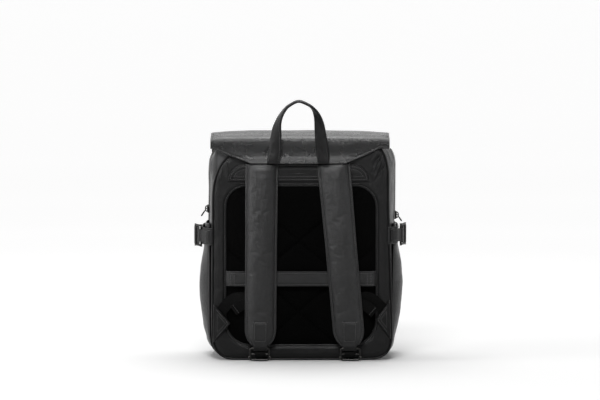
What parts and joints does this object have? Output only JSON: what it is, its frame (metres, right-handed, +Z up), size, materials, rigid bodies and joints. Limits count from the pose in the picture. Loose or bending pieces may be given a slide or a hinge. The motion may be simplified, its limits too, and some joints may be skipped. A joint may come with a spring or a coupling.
{
  "type": "leather backpack",
  "caption": "Flap-top leather backpack standing upright, with padded shoulder straps, mesh back panel, luggage band, carry handle, side pockets and side zips.",
  "frame": {"origin": "middle of the whole box at the height of the base it stands on", "axes": "+Z up, the back panel with the shoulder straps faces -Y, the front faces +Y, +X to the right of someone who looks at the back panel"},
  "size_m": [0.3748, 0.1884, 0.4519],
  "materials": {
    "leather_body": "waxed smooth black leather, soft sheen",
    "leather_trim": "waxed smooth black leather, edge stitched",
    "leather_flap": "waxed smooth black leather, soft sheen",
    "leather_strap": "padded fine pebbled black leather",
    "leather_band": "pebbled black leather",
    "piping": "black edge binding",
    "mesh": "black knitted air mesh",
    "webbing": "black woven webbing",
    "gunmetal": "dark plated zinc",
    "zip_teeth": "dark metal teeth",
    "zip_tape": "black woven tape",
    "magnet": "plated magnetic snap",
    "lining": "dark woven lining",
    "board": "stiffener sheet"
  },
  "bodies": {
    "bag": {"back_board": "board", "back_frame": "leather_body", "back_pad": "mesh", "back_piping": "piping", "base_board": "board", "base_panel": "leather_body", "body_magnets": "magnet", "flap_root": "leather_trim", "front_panel": "leather_body", "front_piping": "piping", "laptop_sleeve": "lining", "left_buckle_chape": "leather_trim", "left_compression_strap": "leather_trim", "left_corner_tab": "leather_trim", "left_gusset": "leather_body", "left_side_pocket": "leather_body", "left_zip_tape": "zip_tape", "left_zip_teeth": "zip_teeth", "lining": "lining", "luggage_band": "leather_band", "right_buckle_chape": "leather_trim", "right_compression_strap": "leather_trim", "right_corner_tab": "leather_trim", "right_gusset": "leather_body", "right_side_pocket": "leather_body", "right_zip_tape": "zip_tape", "right_zip_teeth": "zip_teeth", "shoulder_yoke": "leather_trim"},
    "flap_body": {"flap": "leather_flap", "closure_straps": "leather_trim", "closure_buckles": "gunmetal", "flap_magnets": "magnet"},
    "handle": {"grab_handle": "leather_trim"},
    "left_strap": {"left_shoulder_strap": "leather_strap", "left_strap_tab": "leather_trim", "left_webbing": "webbing"},
    "right_strap": {"right_shoulder_strap": "leather_strap", "right_strap_tab": "leather_trim", "right_webbing": "webbing"},
    "left_slider": {"left_slider_buckle": "gunmetal"},
    "right_slider": {"right_slider_buckle": "gunmetal"},
    "left_buckle": {"left_side_buckle": "gunmetal"},
    "right_buckle": {"right_side_buckle": "gunmetal"},
    "left_zip": {"left_zip_slider": "gunmetal"},
    "right_zip": {"right_zip_slider": "gunmetal"},
    "left_pull": {"left_zip_puller": "gunmetal"},
    "right_pull": {"right_zip_puller": "gunmetal"}
  },
  "joints": [
    {"name": "flap_hinge", "type": "hinge", "parent": "bag", "child": "flap_body", "pos_m": [0, -0.06125, 0.388], "axis": [1, 0, 0], "range_deg": [0, 88]},
    {"name": "handle_fold", "type": "hinge", "parent": "bag", "child": "handle", "pos_m": [0, -0.06845, 0.3485], "axis": [1, 0, 0], "range_deg": [0, 75]},
    {"name": "left_strap_swing", "type": "hinge", "parent": "bag", "child": "left_strap", "pos_m": [-0.065, -0.06355, 0.3428], "axis": [1, 0, 0], "range_deg": [-20, 0]},
    {"name": "left_slider_rock", "type": "hinge", "parent": "left_strap", "child": "left_slider", "pos_m": [-0.069, -0.0745, 0.0217], "axis": [1, 0, 0], "range_deg": [-8, 6]},
    {"name": "left_buckle_swing", "type": "hinge", "parent": "bag", "child": "left_buckle", "pos_m": [-0.177, -0.03325, 0.217], "axis": [0, 0, 1], "range_deg": [-10, 60]},
    {"name": "left_zip_travel", "type": "slide", "parent": "bag", "child": "left_zip", "axis": [0, 0, 1], "range_m": [0, 0.072]},
    {"name": "left_pull_swing", "type": "hinge", "parent": "left_zip", "child": "left_pull", "pos_m": [-0.1653, 0.01075, 0.261], "axis": [0, 1, 0], "range_deg": [0, 50]},
    {"name": "right_strap_swing", "type": "hinge", "parent": "bag", "child": "right_strap", "pos_m": [0.059, -0.06355, 0.3428], "axis": [1, 0, 0], "range_deg": [-20, 0]},
    {"name": "right_slider_rock", "type": "hinge", "parent": "right_strap", "child": "right_slider", "pos_m": [0.084, -0.0745, 0.0217], "axis": [1, 0, 0], "range_deg": [-8, 6]},
    {"name": "right_buckle_swing", "type": "hinge", "parent": "bag", "child": "right_buckle", "pos_m": [0.177, -0.03325, 0.219], "axis": [0, 0, -1], "range_deg": [-10, 60]},
    {"name": "right_zip_travel", "type": "slide", "parent": "bag", "child": "right_zip", "axis": [0, 0, 1], "range_m": [0, 0.083]},
    {"name": "right_pull_swing", "type": "hinge", "parent": "right_zip", "child": "right_pull", "pos_m": [0.1653, 0.01075, 0.25], "axis": [0, -1, 0], "range_deg": [0, 16]}
  ]
}
